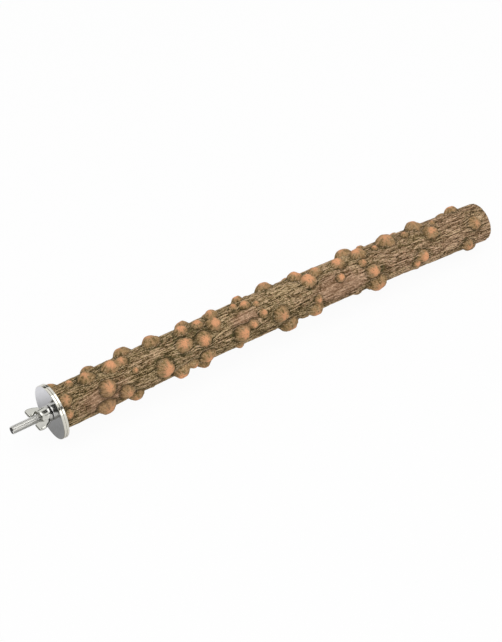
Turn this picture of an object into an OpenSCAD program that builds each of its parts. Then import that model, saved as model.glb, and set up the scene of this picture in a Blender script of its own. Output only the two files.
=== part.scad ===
// A bird perch cut from a knobbly branch with its bark left on.
// A double-ended bolt stands out of one end of the branch. It carries two broad washers that
// grip the cage bars between them, and a wing nut that draws them together.
// The origin is where the two washers meet, on the bolt's axis. X runs along the branch towards
// its cut end, and Z is up. All lengths are in millimetres and all angles in degrees.

/* [Branch] */
// Length of the branch, from its drilled end to its cut end
perch_len = 373; // [250:1:450]
// Radius of the branch over the bark, between the knobs
branch_r = 14.9; // [13:0.1:18]
// Thickness of the bark
bark_t = 3; // [2.5:0.1:4]
// How much the radius swells and shrinks along the branch
swell = 0.4; // [0:0.1:1]
// How far the middle of the branch bows up
bow = 3; // [0:0.5:8]
// How far the cut end drops below the bolt's line
end_drop = 5; // [0:0.5:10]
// How far the cut end wanders to the side
end_drift = 5; // [0:0.5:10]
// Rounding of the bark's edge at the cut end
end_round = 1.5; // [0.5:0.1:2]

/* [Knobs] */
// Radius of a full-size knob at its foot
knob_r = 5.8; // [4:0.1:7]
// Height of a full-size knob above the bark
knob_h = 4.4; // [2:0.1:6]
// How deep a knob's foot is rooted in the bark
knob_root = 2.2; // [1.8:0.1:2.4]

/* [Bolt] */
// Outer radius of the bolt's machine thread
stud_r = 2.95; // [2.8:0.01:3.2]
// Depth of the machine thread
thread_depth = 0.55; // [0.45:0.01:0.6]
// Pitch of the machine thread
thread_pitch = 1; // [0.9:0.05:1.25]
// Width of the flat left on the machine thread's crest
thread_crest = 0.15; // [0.1:0.01:0.2]
// How far the bolt stands out past the outer washer
stud_out = 29.8; // [26:0.1:40]
// Chamfer at the bolt's outer end
stud_chamfer = 0.6; // [0.3:0.1:0.8]
// Radius of the plain shank between the two threads
shank_r = 2.68; // [2.6:0.01:2.75]
// Length of the plain shank inside the branch
shank_in = 4; // [2:0.5:8]
// Length of the wood thread, with its point
wood_thread_len = 34; // [25:1:45]
// Radius of the wood thread's core
wood_core_r = 2.2; // [2:0.05:2.4]
// Outer radius of the wood thread
wood_crest_r = 3; // [2.8:0.05:3.2]
// Pitch of the wood thread
wood_pitch = 2.5; // [2:0.25:3]
// Length of the bolt's point
point_len = 5; // [4:0.5:7]

/* [Washers] */
// Radius of each washer
washer_r = 20; // [16:0.5:25]
// Thickness of each washer
washer_t = 2; // [1.5:0.1:3]
// Bevel round each washer's rim
washer_bevel = 0.35; // [0.1:0.05:0.5]
// Gap between the bolt's thread and a washer's hole
washer_gap = 0.3; // [0.2:0.05:0.6]

/* [Wing nut] */
// Length of the nut's body
nut_len = 8.5; // [7:0.5:10]
// Radius of the nut's body against the washer
nut_r = 5.9; // [5.5:0.1:7]
// Radius of the nut's body at its outer end
nut_nose_r = 4.9; // [4.6:0.1:5.4]
// Thickness of each wing
wing_t = 2.2; // [1.6:0.1:3]
// Radius of the round tip of each wing
wing_tip_r = 3.3; // [2.5:0.1:4]
// How far the centre of a wing's tip stands from the bolt's axis
wing_reach = 8.2; // [7:0.1:12]
// How far the centre of a wing's tip stands out from the washer
wing_out = 11.2; // [8:0.1:13]
// Bevel round the nut's body
nut_bevel = 0.5; // [0.2:0.1:0.8]
// Play along the axis between the nut's thread and the bolt's
thread_play = 0.15; // [0.12:0.01:0.17]
// Play across the axis between the nut's thread and the bolt's
thread_room = 0.22; // [0.15:0.01:0.25]

/* [Pilot hole] */
// Gap between the wood thread's core and the hole drilled for it
pilot_gap = 0.05; // [0.02:0.01:0.1]
// How far the pilot hole runs on past the bolt's point
pilot_extra = 4; // [1:0.5:8]

/* [Hidden] */

// Colours, as the photographed object shows them
BARK_BROWN = [0.37, 0.29, 0.19];
WOOD_PALE = [0.78, 0.63, 0.42];
BRIGHT_STEEL = [0.80, 0.81, 0.82];

// One overrun for every cut
cut = 1;
// Facets: round turned faces, rings and sides of the bark, and sides of a knob
turned_fn = 72;
wing_fn = 32;
bark_rings = 46;
bark_sides = 24;
core_rings = 24;
core_sides = 18;
knob_sides = 8;
thread_steps = 16;
wood_thread_steps = 12;
edge_steps = 3;

// Each knob: share of the branch's length, degrees round it from the top towards -Y,
// and share of the full size. The near list covers the top and the -Y side, and the
// far list the underside and the +Y side.
near_knob_shares = [
    [0.010, 69, 0.60], [0.014, 30, 0.75], [0.006, -50, 1.00], [0.036, -11, 0.55],
    [0.070, -4, 0.95], [0.087, 104, 1.05], [0.098, 52, 1.00], [0.121, -2, 0.95],
    [0.132, 87, 0.85], [0.146, -1, 0.70], [0.160, 38, 0.40], [0.155, 126, 0.90],
    [0.163, -46, 1.05], [0.218, 71, 1.10], [0.220, -26, 1.05], [0.253, 113, 1.05],
    [0.270, 34, 0.95], [0.278, 101, 0.70], [0.281, -12, 0.80], [0.309, 98, 0.90],
    [0.315, -7, 0.65], [0.311, 42, 0.95], [0.343, 16, 0.90], [0.352, -20, 0.85],
    [0.384, 114, 0.60], [0.391, 74, 1.05], [0.399, -11, 0.50], [0.420, 1, 0.65],
    [0.418, 62, 0.60], [0.423, -45, 0.75], [0.441, 12, 0.40], [0.444, 45, 0.60],
    [0.481, 70, 0.95], [0.485, -48, 1.05], [0.501, 125, 1.20], [0.548, -24, 0.95],
    [0.563, 12, 1.00], [0.560, 105, 1.00], [0.567, 74, 0.60], [0.588, -7, 0.80],
    [0.629, 40, 0.60], [0.640, -4, 0.85], [0.674, -48, 1.10], [0.687, 26, 0.55],
    [0.693, -8, 0.90], [0.704, 61, 0.95], [0.711, 109, 1.20], [0.716, -48, 0.50], [0.732, -4, 0.45],
    [0.763, -14, 1.10], [0.808, -8, 0.50], [0.808, 94, 0.55], [0.823, 77, 0.90],
    [0.842, -30, 1.05], [0.859, 19, 0.90], [0.879, -10, 0.40], [0.938, 104, 0.85],
    [0.947, -46, 0.90], [0.962, 43, 0.85]
];
far_knob_shares = [
    [0.040, 176, 0.80], [0.060, 215, 1.00], [0.055, 272, 0.75], [0.110, 180, 1.05],
    [0.125, 240, 0.90], [0.093, 290, 0.90], [0.160, 205, 0.60], [0.200, 178, 1.00],
    [0.210, 230, 1.10], [0.225, 275, 0.70], [0.265, 190, 0.85], [0.280, 250, 1.00],
    [0.302, 287, 1.05], [0.312, 150, 1.10], [0.340, 220, 0.70], [0.360, 265, 1.10],
    [0.390, 185, 0.95], [0.405, 235, 0.90], [0.425, 174, 0.60], [0.450, 272, 0.90],
    [0.460, 205, 1.10], [0.500, 180, 0.70], [0.520, 245, 1.00], [0.545, 278, 0.85],
    [0.552, 172, 1.00], [0.580, 215, 0.90], [0.610, 260, 0.65], [0.625, 185, 1.10],
    [0.650, 235, 0.95], [0.680, 165, 0.80], [0.700, 205, 1.00], [0.725, 265, 0.90],
    [0.760, 180, 0.75], [0.785, 225, 1.10], [0.810, 280, 0.85], [0.830, 178, 1.00],
    [0.855, 205, 0.70], [0.880, 250, 1.00], [0.905, 180, 0.90], [0.930, 282, 0.80],
    [0.930, 225, 0.75], [0.962, 158, 0.90], [0.965, 265, 0.90]
];
// A knob is a little longer along the branch than across it
knob_long_share = 1.12;
// Radius and height of a knob's shoulder and crown, as shares of its foot and height
shoulder_r_share = 0.80;
shoulder_h_share = 0.55;
crown_r_share = 0.48;
// Thickness of the slices that a knob's form is stretched over, as a share of its root
slice_share = 0.2;
// How many times the branch swells along its length, and how oval it is
swell_waves = 2.6;
oval_share = 0.5;

// Places along the bolt's line, with +z in the bolt's own frame pointing out of the branch
wood_face_z = -washer_t;
shank_end_z = wood_face_z - shank_in;
point_z = shank_end_z - wood_thread_len;
thread_start_z = wood_face_z / 2;
stud_end_z = washer_t + stud_out;

// The machine thread's section, with 60 degrees between its flanks
flank_angle = 30;
flank_slope = tan(flank_angle);
root_r = stud_r - thread_depth;
crest_over = thread_depth / 5;
groove_crest_w = thread_pitch - thread_crest;
groove_root_w = groove_crest_w - 2 * thread_depth * flank_slope;
groove_over_w = groove_crest_w + 2 * crest_over * flank_slope;

// The nut's thread is the bolt's, opened by the play on each side
nut_bore_r = root_r + thread_room;
nut_root_r = stud_r + thread_room;
nut_groove_stud_w = thread_crest + 2 * thread_play;
nut_groove_root_w = nut_groove_stud_w - 2 * thread_room * flank_slope;
bore_over = thread_depth / 20;
nut_groove_over_w = nut_groove_stud_w + 2 * (stud_r - nut_bore_r + bore_over) * flank_slope;

// The wood thread's ridge, and the bolt's blunt point
ridge_foot_share = 0.32;
ridge_crest_share = 0.08;
ridge_sunk_share = 0.1;
point_tip_share = 0.15;
wood_ridge_foot_w = wood_pitch * ridge_foot_share;
wood_ridge_crest_w = wood_pitch * ridge_crest_share;
wood_ridge_in_r = wood_core_r * (1 - ridge_sunk_share);
point_tip_r = wood_core_r * point_tip_share;

// Each wing springs from a round foot inside the nut's body, clear of its thread
wing_foot_share = 0.75;
wing_foot_r = wing_tip_r * wing_foot_share;
wing_foot_reach = nut_root_r + thread_room + wing_foot_r;

washer_bore_r = stud_r + washer_gap;
pilot_r = wood_core_r + pilot_gap;
mouth_r = shank_r + pilot_gap;

// The branch's centre line at a share s of its length
function centre(s) = [
    washer_t + s * perch_len,
    -end_drift * s * s,
    bow * sin(180 * s) - end_drop * s * s
];

// The branch's radius over the bark at a share s of its length and an angle a round it
function over_bark(s, a) =
    branch_r + swell * (sin(360 * swell_waves * s) + oval_share * cos(2 * a + 90 * s)) / 2;

// One ring of points round the centre line, at a distance x past the share s
function ring(s, x, shrink, sides) = [
    for (i = [0 : sides - 1])
        let (a = 360 * i / sides, r = over_bark(s, a) - shrink)
        centre(s) + [x, -r * sin(a), r * cos(a)]
];

// The triangles that join rings of points into one closed skin
function skin(rings, sides) = concat(
    [[for (k = [0 : sides - 1]) k]],
    [for (i = [0 : rings - 2]) for (k = [0 : sides - 1])
        [i * sides + k, (i + 1) * sides + k, (i + 1) * sides + (k + 1) % sides]],
    [for (i = [0 : rings - 2]) for (k = [0 : sides - 1])
        [i * sides + k, (i + 1) * sides + (k + 1) % sides, i * sides + (k + 1) % sides]],
    [[for (k = [sides - 1 : -1 : 0]) (rings - 1) * sides + k]]
);

// A solid whose skin passes through the given rings
module through_rings(rings, sides) {
    polyhedron(
        points = [for (r = rings) each r],
        faces = skin(len(rings), sides),
        convexity = 6
    );
}

// The branch over its bark, with a rounded edge at the cut end
module whole_branch() {
    last = 1 - end_round / perch_len;
    body = [for (i = [0 : bark_rings]) ring(last * i / bark_rings, 0, 0, bark_sides)];
    edge = [
        for (i = [1 : edge_steps])
            let (q = 90 * i / edge_steps)
            ring(last, end_round * sin(q), end_round * (1 - cos(q)), bark_sides)
    ];
    through_rings(concat(body, edge), bark_sides);
}

// The wood inside the bark, carried on past both ends by over
module wood_form(over) {
    rings = [for (i = [0 : core_rings]) ring(i / core_rings, 0, bark_t, core_sides)];
    before = over > 0 ? [ring(0, -over, bark_t, core_sides)] : [];
    after = over > 0 ? [ring(1, over, bark_t, core_sides)] : [];
    through_rings(concat(before, rings, after), core_sides);
}

// One knob, stood on the bark at a share of the length and an angle round it
module knob(along, around, size) {
    foot_r = knob_r * size;
    top_h = knob_h * size;
    slice = knob_root * slice_share;
    translate(centre(along))
        rotate([around, 0, 0])
            translate([0, 0, over_bark(along, around) - knob_root])
                scale([knob_long_share, 1, 1])
                    hull() {
                        cylinder(h = slice, r = foot_r, $fn = knob_sides);
                        translate([0, 0, knob_root + top_h * shoulder_h_share - slice])
                            cylinder(h = slice, r = foot_r * shoulder_r_share, $fn = knob_sides);
                        translate([0, 0, knob_root + top_h - slice])
                            cylinder(h = slice, r = foot_r * crown_r_share, $fn = knob_sides);
                    }
}

// What the saw takes off in front of the drilled end, where it cuts through the nearest knobs
module sawn_off() {
    across = 2 * (branch_r + swell + knob_h);
    deep = knob_r * knob_long_share;
    translate([washer_t - deep, -across / 2, -across / 2])
        cube([deep, across, across]);
}

// The bark and the knobs that grow out of it
module bark() {
    color(BARK_BROWN)
        difference() {
            union() {
                whole_branch();
                for (k = concat(near_knob_shares, far_knob_shares))
                    knob(k[0], k[1], k[2]);
            }
            wood_form(cut);
            sawn_off();
        }
}

// The bolt's own frame: +z points out of the branch along -X
module on_bolt_line() {
    rotate([0, -90, 0]) children();
}

// The wood under the bark, drilled for the bolt
module wood_core() {
    color(WOOD_PALE)
        difference() {
            wood_form(0);
            on_bolt_line() {
                translate([0, 0, shank_end_z - pilot_gap])
                    cylinder(h = shank_in + pilot_gap + cut, r = mouth_r, $fn = turned_fn);
                translate([0, 0, point_z - pilot_extra])
                    cylinder(h = wood_thread_len + pilot_extra + cut, r = pilot_r, $fn = turned_fn);
            }
        }
}

// A bar of the given section wound into a right-hand helix round z
module helix(section, pitch, from_z, to_z, steps) {
    sides = len(section);
    total = ceil((to_z - from_z) / pitch * steps);
    rings = [
        for (i = [0 : total])
            let (a = 360 * i / steps, z = from_z + pitch * i / steps)
            [for (q = section) [q[0] * cos(a), q[0] * sin(a), z + q[1]]]
    ];
    through_rings(rings, sides);
}

// A thread's section: its inner radius and width there, and its outer radius and width there
function thread_section(in_r, in_w, out_r, out_w) = [
    [in_r, -in_w / 2], [in_r, in_w / 2], [out_r, out_w / 2], [out_r, -out_w / 2]
];

// The bolt, with a machine thread outside and a wood thread inside the branch
module hanger_bolt() {
    color(BRIGHT_STEEL)
        on_bolt_line() {
            difference() {
                rotate_extrude($fn = turned_fn)
                    polygon([
                        [0, point_z],
                        [point_tip_r, point_z],
                        [wood_core_r, point_z + point_len],
                        [wood_core_r, shank_end_z],
                        [shank_r, shank_end_z + (shank_r - wood_core_r)],
                        [shank_r, thread_start_z],
                        [stud_r, thread_start_z + (stud_r - shank_r)],
                        [stud_r, stud_end_z - stud_chamfer],
                        [stud_r - stud_chamfer, stud_end_z],
                        [0, stud_end_z]
                    ]);
                helix(
                    thread_section(root_r, groove_root_w, stud_r + crest_over, groove_over_w),
                    thread_pitch,
                    thread_start_z,
                    stud_end_z + thread_pitch,
                    thread_steps
                );
            }
            helix(
                thread_section(
                    wood_ridge_in_r, wood_ridge_foot_w,
                    wood_crest_r, wood_ridge_crest_w
                ),
                wood_pitch,
                point_z + point_len + wood_ridge_foot_w,
                shank_end_z - wood_pitch,
                wood_thread_steps
            );
        }
}

// A broad washer from z to z + washer_t on the bolt's line
module washer(z) {
    on_bolt_line()
        translate([0, 0, z])
            rotate_extrude($fn = turned_fn)
                polygon([
                    [washer_bore_r, 0],
                    [washer_r - washer_bevel, 0],
                    [washer_r, washer_bevel],
                    [washer_r, washer_t - washer_bevel],
                    [washer_r - washer_bevel, washer_t],
                    [washer_bore_r, washer_t]
                ]);
}

module inner_washer() {
    color(BRIGHT_STEEL) washer(wood_face_z);
}

module outer_washer() {
    color(BRIGHT_STEEL) washer(0);
}

// The nut's body, turned, bored and threaded, from z = 0 against the washer
module nut_body() {
    nut_top = nut_len + cut;
    // The nut's groove follows the bolt's ridge, half a pitch from the bolt's groove
    thread_phase = thread_start_z + thread_pitch / 2 - washer_t;
    difference() {
        rotate_extrude($fn = turned_fn)
            polygon([
                [0, 0],
                [nut_r - nut_bevel, 0],
                [nut_r, nut_bevel],
                [nut_nose_r, nut_len - nut_bevel],
                [nut_nose_r - nut_bevel, nut_len],
                [0, nut_len]
            ]);
        translate([0, 0, -cut])
            cylinder(h = nut_top + cut, r = nut_bore_r, $fn = turned_fn);
        helix(
            thread_section(
                nut_bore_r - bore_over, nut_groove_over_w,
                nut_root_r, nut_groove_root_w
            ),
            thread_pitch,
            thread_phase,
            nut_top,
            thread_steps
        );
    }
}

// One flat wing, leaning out along the bolt from the nut's side
module wing(side) {
    rotate([90, 0, 90])
        translate([0, 0, -wing_t / 2])
            linear_extrude(height = wing_t)
                hull() {
                    translate([side * wing_reach, wing_out])
                        circle(r = wing_tip_r, $fn = wing_fn);
                    translate([side * wing_foot_reach, nut_len / 2])
                        circle(r = wing_foot_r, $fn = wing_fn);
                }
}

module wing_nut() {
    color(BRIGHT_STEEL)
        on_bolt_line()
            translate([0, 0, washer_t]) {
                nut_body();
                for (side = [-1, 1])
                    wing(side);
            }
}

bark();
wood_core();
hanger_bolt();
inner_washer();
outer_washer();
wing_nut();
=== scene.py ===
"""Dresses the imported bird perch: a knobbly branch with its bark on, clamped by two washers and a wing nut.

Lengths are in metres and angles in radians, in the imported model's frame: the origin is where the two washers
meet on the bolt's line, X runs along the branch to its cut end, and Z is up.
"""

import logging
import math
from dataclasses import asdict, dataclass, replace
from enum import Enum
from typing import Callable, Sequence, Union

import bmesh
import bpy
import numpy as np
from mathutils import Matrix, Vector


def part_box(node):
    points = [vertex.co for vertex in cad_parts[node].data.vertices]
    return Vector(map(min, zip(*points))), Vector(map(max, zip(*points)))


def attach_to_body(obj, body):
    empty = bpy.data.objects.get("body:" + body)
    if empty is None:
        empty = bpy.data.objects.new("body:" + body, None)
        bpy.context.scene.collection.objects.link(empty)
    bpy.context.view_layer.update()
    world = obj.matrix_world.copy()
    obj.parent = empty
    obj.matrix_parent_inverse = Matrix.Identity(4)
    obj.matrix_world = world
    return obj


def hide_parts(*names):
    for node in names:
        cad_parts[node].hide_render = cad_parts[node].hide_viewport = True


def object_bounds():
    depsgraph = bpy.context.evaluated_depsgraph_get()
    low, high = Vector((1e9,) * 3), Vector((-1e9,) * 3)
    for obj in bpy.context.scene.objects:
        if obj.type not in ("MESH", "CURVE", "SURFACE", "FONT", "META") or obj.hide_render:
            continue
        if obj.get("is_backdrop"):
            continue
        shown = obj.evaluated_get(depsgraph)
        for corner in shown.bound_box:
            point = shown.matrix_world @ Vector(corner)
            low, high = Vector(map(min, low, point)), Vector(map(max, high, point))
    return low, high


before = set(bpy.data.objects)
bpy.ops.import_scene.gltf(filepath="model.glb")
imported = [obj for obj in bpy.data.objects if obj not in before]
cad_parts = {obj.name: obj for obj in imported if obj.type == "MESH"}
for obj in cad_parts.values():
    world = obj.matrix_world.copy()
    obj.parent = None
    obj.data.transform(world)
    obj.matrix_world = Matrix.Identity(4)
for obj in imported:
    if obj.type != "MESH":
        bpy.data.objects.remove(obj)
CAD_LOW, CAD_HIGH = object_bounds()

MM = 0.001
TURN = 2 * math.pi
# Points of one piece that are closer than this are welded
WELD = 0.0005 * MM
# How deep the saw's marks are on the cut end
SAW_DEPTH = 0.12 * MM
# How many rings of points a thread has in each of its turns
RINGS_A_TURN = 14
LOG = logging.getLogger("perch")

Piece = bpy.types.Object
Colour = tuple[float, float, float]
Given = Union["Wire", float, int, str, Sequence[float], bpy.types.ID]


def seen(red: int, green: int, blue: int) -> Colour:
    """Turns a colour as a screen shows it, from 0 to 255, into the light that it stands for."""
    shares = (red / 255, green / 255, blue / 255)
    return tuple(((share + 0.055) / 1.055) ** 2.4 if share > 0.04045 else share / 12.92 for share in shares)


def pick(sockets: Sequence[bpy.types.NodeSocket], key: Union[int, str]) -> bpy.types.NodeSocket:
    """Finds a socket of a node.

    Args:
        sockets: The node's inputs or outputs.
        key: The socket's number, identifier or name.

    Returns:
        The socket, where one in use comes before a hidden one of the same name.
    """
    if isinstance(key, int):
        return sockets[key]
    found = [socket for socket in sockets if key in (socket.identifier, socket.name)]
    return next((socket for socket in found if socket.enabled), found[0])


def by_math(operation: str, turned_round: bool = False) -> Callable[..., "Wire"]:
    """Makes a method for a wire's sums.

    Args:
        operation: The Math node's operation.
        turned_round: Whether the wire comes after the other value.

    Returns:
        The method, which takes the other value where the operation has one.
    """

    def method(wire: "Wire", *others: Given) -> "Wire":
        """Adds the Math node and gives what comes out of it."""
        values = (*others, wire) if turned_round else (wire, *others)
        return wire.bench.math(operation, *values)

    return method


class Wire:
    """One output of a node, which can be used in Python sums."""

    __add__ = __radd__ = by_math("ADD")
    __sub__ = by_math("SUBTRACT")
    __rsub__ = by_math("SUBTRACT", turned_round=True)
    __mul__ = __rmul__ = by_math("MULTIPLY")
    __truediv__ = by_math("DIVIDE")
    __pow__ = by_math("POWER")
    least = by_math("MINIMUM")
    most = by_math("MAXIMUM")
    size = by_math("ABSOLUTE")
    sine = by_math("SINE")
    cosine = by_math("COSINE")

    def __init__(self, bench: "Bench", socket: bpy.types.NodeSocket) -> None:
        """Keeps the socket and the bench on which its sums are made."""
        self.bench = bench
        self.socket = socket

    def out(self, name: str) -> "Wire":
        """Gives another output of the same node."""
        return Wire(self.bench, pick(self.socket.node.outputs, name))

    def reach(self, other: "Wire") -> "Wire":
        """Gives how far off a place is, where this and another say how far it is each way."""
        return (self * self + other * other) ** 0.5

    def band(self, start: Given, end: Given) -> "Wire":
        """Rises smoothly from 0 at start to 1 at end, or falls where end is the smaller."""
        sockets = {"Value": self, "From Min": start, "From Max": end}
        return self.bench.node("ShaderNodeMapRange", {"interpolation_type": "SMOOTHSTEP"}, sockets)


class Bench:
    """A node tree on which a material or a grown shape is put together."""

    def __init__(self, tree: bpy.types.NodeTree) -> None:
        """Keeps the tree."""
        self.tree = tree

    def feed(self, socket: bpy.types.NodeSocket, value: Given) -> None:
        """Links a wire to an input, or sets the input to a value.

        Args:
            socket: The input.
            value: A wire or a plain value. A colour has three numbers and is taken as solid.
        """
        if isinstance(value, Wire):
            self.tree.links.new(value.socket, socket)
        elif socket.type == "RGBA":
            socket.default_value = (*value, 1.0)
        else:
            socket.default_value = value

    @staticmethod
    def set_stops(ramp: bpy.types.ColorRamp, stops: Sequence[tuple[float, Colour]]) -> None:
        """Sets up a colour ramp.

        Args:
            ramp: The ramp.
            stops: Its places and colours, in rising order.
        """
        ramp.elements[0].position = stops[0][0]
        ramp.elements[1].position = stops[-1][0]
        for place, _ in stops[1:-1]:
            ramp.elements.new(place)
        for element, (_, colour) in zip(ramp.elements, stops):
            element.color = (*colour, 1.0)

    def put(self, kind: str, settings: dict, inputs: dict) -> bpy.types.Node:
        """Adds a node of any kind.

        Args:
            kind: The node's type.
            settings: Its own settings, which are set first. A ramp's stops go under "stops".
            inputs: A value or a wire for each socket, by number, identifier or name.

        Returns:
            The node.
        """
        node = self.tree.nodes.new(kind)
        for name, value in settings.items():
            if name == "stops":
                self.set_stops(node.color_ramp, value)
            else:
                setattr(node, name, value)
        for key, value in inputs.items():
            self.feed(pick(node.inputs, key), value)
        return node

    def node(self, kind: str, settings: dict, inputs: dict, out: Union[int, str] = 0) -> Wire:
        """Adds a node and gives one of its outputs, as put() does with the same arguments."""
        return Wire(self, pick(self.put(kind, settings, inputs).outputs, out))

    def math(self, operation: str, *values: Given) -> Wire:
        """Adds a Math node on one, two or three values."""
        return self.node("ShaderNodeMath", {"operation": operation}, dict(enumerate(values)))

    def vector(self, operation: str, *values: Given) -> Wire:
        """Adds a Vector Math node on one, two or three vectors."""
        return self.node("ShaderNodeVectorMath", {"operation": operation}, dict(enumerate(values)))

    def joined(self, x: Given, y: Given, z: Given) -> Wire:
        """Makes a vector of three values."""
        return self.node("ShaderNodeCombineXYZ", {}, {"X": x, "Y": y, "Z": z})

    def split(self, vector: Wire) -> tuple[Wire, Wire, Wire]:
        """Takes a vector apart into its three values."""
        x = self.node("ShaderNodeSeparateXYZ", {}, {0: vector}, "X")
        return x, x.out("Y"), x.out("Z")

    def noise(self, place: Wire, stretch: Sequence[float], detail: float, shift: float = 0.0) -> Wire:
        """Makes a soft random pattern round 0.5, with so many steps a metre each way, from shift on."""
        where = self.vector("MULTIPLY_ADD", place, stretch, (shift, shift, shift))
        return self.node("ShaderNodeTexNoise", {}, {"Vector": where, "Scale": 1.0, "Detail": detail})


class Paint(Bench):
    """The node tree of one material."""

    def __init__(self, name: str) -> None:
        """Starts an empty material.

        Args:
            name: The material's name.
        """
        self.material = bpy.data.materials.new(name)
        self.material.use_nodes = True
        super().__init__(self.material.node_tree)
        self.tree.nodes.clear()

    def spot(self) -> Wire:
        """Gives the place on the piece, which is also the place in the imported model's frame."""
        return self.node("ShaderNodeTexCoord", {}, {}, "Object")

    def mark(self, name: str, out: str = "Fac") -> Wire:
        """Gives a value that the piece's mesh carries from point to point."""
        return self.node("ShaderNodeAttribute", {"attribute_name": name}, {}, out)

    def mix(self, under: Given, over: Given, share: Given) -> Wire:
        """Lays one colour over another, of which that share shows, from 0 to 1."""
        sockets = {"Factor_Float": share, "A_Color": under, "B_Color": over}
        return self.node("ShaderNodeMix", {"data_type": "RGBA"}, sockets, "Result_Color")

    def bumps(self, height: Wire, depth: float, strength: float = 1.0) -> Wire:
        """Turns a height from 0 to 1 into a surface with bumps of that depth."""
        return self.node("ShaderNodeBump", {}, {"Height": height, "Distance": depth, "Strength": strength})

    def end(self, surface: Wire) -> bpy.types.Material:
        """Ends the material with a shader and gives it."""
        self.put("ShaderNodeOutputMaterial", {}, {"Surface": surface})
        return self.material

    def finish(self, sockets: dict[str, Given]) -> bpy.types.Material:
        """Ends the material with a principled shader that has these values or wires in its sockets."""
        return self.end(self.node("ShaderNodeBsdfPrincipled", {}, sockets))


class Grower(Bench):
    """A Geometry Nodes tree with a named input for each of its sizes."""

    KINDS = {float: "Float", int: "Int", Piece: "Object", bpy.types.Material: "Material"}

    def __init__(self, name: str, values: dict[str, Given]) -> None:
        """Starts a tree.

        Args:
            name: The tree's name.
            values: What each named input is set to, which also sets what kind of input it is.
        """
        super().__init__(bpy.data.node_groups.new(name, "GeometryNodeTree"))
        self.values: dict[str, Given] = {}
        for side in ("INPUT", "OUTPUT"):
            self.tree.interface.new_socket("Geometry", in_out=side, socket_type="NodeSocketGeometry")
        for label, value in values.items():
            kind = next(word for sort, word in self.KINDS.items() if isinstance(value, sort))
            socket = self.tree.interface.new_socket(label, in_out="INPUT", socket_type="NodeSocket" + kind)
            self.values[socket.identifier] = value
        self.entry = self.put("NodeGroupInput", {}, {})

    def spot(self) -> Wire:
        """Gives the place of each point."""
        return self.node("GeometryNodeInputPosition", {}, {})

    def moved(self, by: Wire, socket: str = "Offset") -> Wire:
        """Gives the tree's own mesh with its points moved by an offset, or to a "Position"."""
        return self.node("GeometryNodeSetPosition", {}, {"Geometry": self.given("Geometry"), socket: by})

    def given(self, label: str) -> Wire:
        """Gives the tree's input of that name."""
        return Wire(self, self.entry.outputs[label])

    def named(self, name: str) -> Wire:
        """Reads a value that the mesh carries from point to point."""
        return self.node("GeometryNodeInputNamedAttribute", {"data_type": "FLOAT"}, {"Name": name})

    def keep(self, geometry: Wire, name: str, value: Given, kind: str = "FLOAT") -> Wire:
        """Stores a value on the mesh, from point to point, and gives the mesh."""
        sockets = {"Geometry": geometry, "Name": name, "Value": value}
        return self.node("GeometryNodeStoreNamedAttribute", {"data_type": kind}, sockets)

    def chance(self, number: Wire, low: float, high: float, seed: Given) -> Wire:
        """Draws a value between low and high for each number, always the same for one seed."""
        sockets = {"Min_001": low, "Max_001": high, "ID": number, "Seed": seed}
        return self.node("FunctionNodeRandomValue", {"data_type": "FLOAT"}, sockets, "Value_001")

    def repeat(
        self, count: Given, start: dict[str, float], step: Callable[[Wire, dict[str, Wire]], dict[str, Wire]]
    ) -> dict[str, Wire]:
        """Runs one step again and again on values that vary over the surface.

        Args:
            count: How many times.
            start: Each value's name and what it starts from.
            step: Takes the step's number and the values so far, and gives the new values.

        Returns:
            The values after the last step.
        """
        first = self.put("GeometryNodeRepeatInput", {}, {})
        last = self.put("GeometryNodeRepeatOutput", {}, {})
        first.pair_with_output(last)
        last.repeat_items.clear()
        for name in start:
            last.repeat_items.new("FLOAT", name)
        self.feed(first.inputs["Iterations"], count)
        for name, value in start.items():
            self.feed(first.inputs[name], value)
        so_far = {name: Wire(self, first.outputs[name]) for name in start}
        for name, value in step(Wire(self, first.outputs["Iteration"]), so_far).items():
            self.feed(last.inputs[name], value)
        return {name: Wire(self, last.outputs[name]) for name in start}

    def finish(self, piece: Piece, geometry: Wire) -> None:
        """Ends the tree with a plain mesh in its finish, and adds the tree to a piece with its values.

        Args:
            piece: The piece, which still has to be settled.
            geometry: What the tree has made.
        """
        plain = self.node("GeometryNodeRealizeInstances", {}, {"Geometry": geometry})
        sockets = {"Geometry": plain, "Material": self.given("Finish")}
        self.put("NodeGroupOutput", {}, {"Geometry": self.node("GeometryNodeSetMaterial", {}, sockets)})
        modifier = piece.modifiers.new(self.tree.name, "NODES")
        modifier.node_group = self.tree
        for identifier, value in self.values.items():
            modifier[identifier] = value


def settle(piece: Piece) -> None:
    """Makes what a piece's modifiers show its own plain mesh.

    Args:
        piece: The piece, which loses its modifiers.
    """
    view = bpy.context.evaluated_depsgraph_get()
    shown = piece.evaluated_get(view)
    mesh = bpy.data.meshes.new_from_object(shown, preserve_all_data_layers=True, depsgraph=view)
    piece.modifiers.clear()
    piece.data = mesh


def new_piece(name: str, points: np.ndarray, faces: Sequence[Sequence[int]]) -> Piece:
    """Makes an object at the origin from points and faces.

    Args:
        name: The piece's name.
        points: One row of three numbers for each point.
        faces: The numbers of each face's points.

    Returns:
        The object, linked to the scene.
    """
    mesh = bpy.data.meshes.new(name)
    mesh.from_pydata(points.tolist(), [], faces)
    piece = bpy.data.objects.new(name, mesh)
    bpy.context.scene.collection.objects.link(piece)
    return piece


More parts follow.
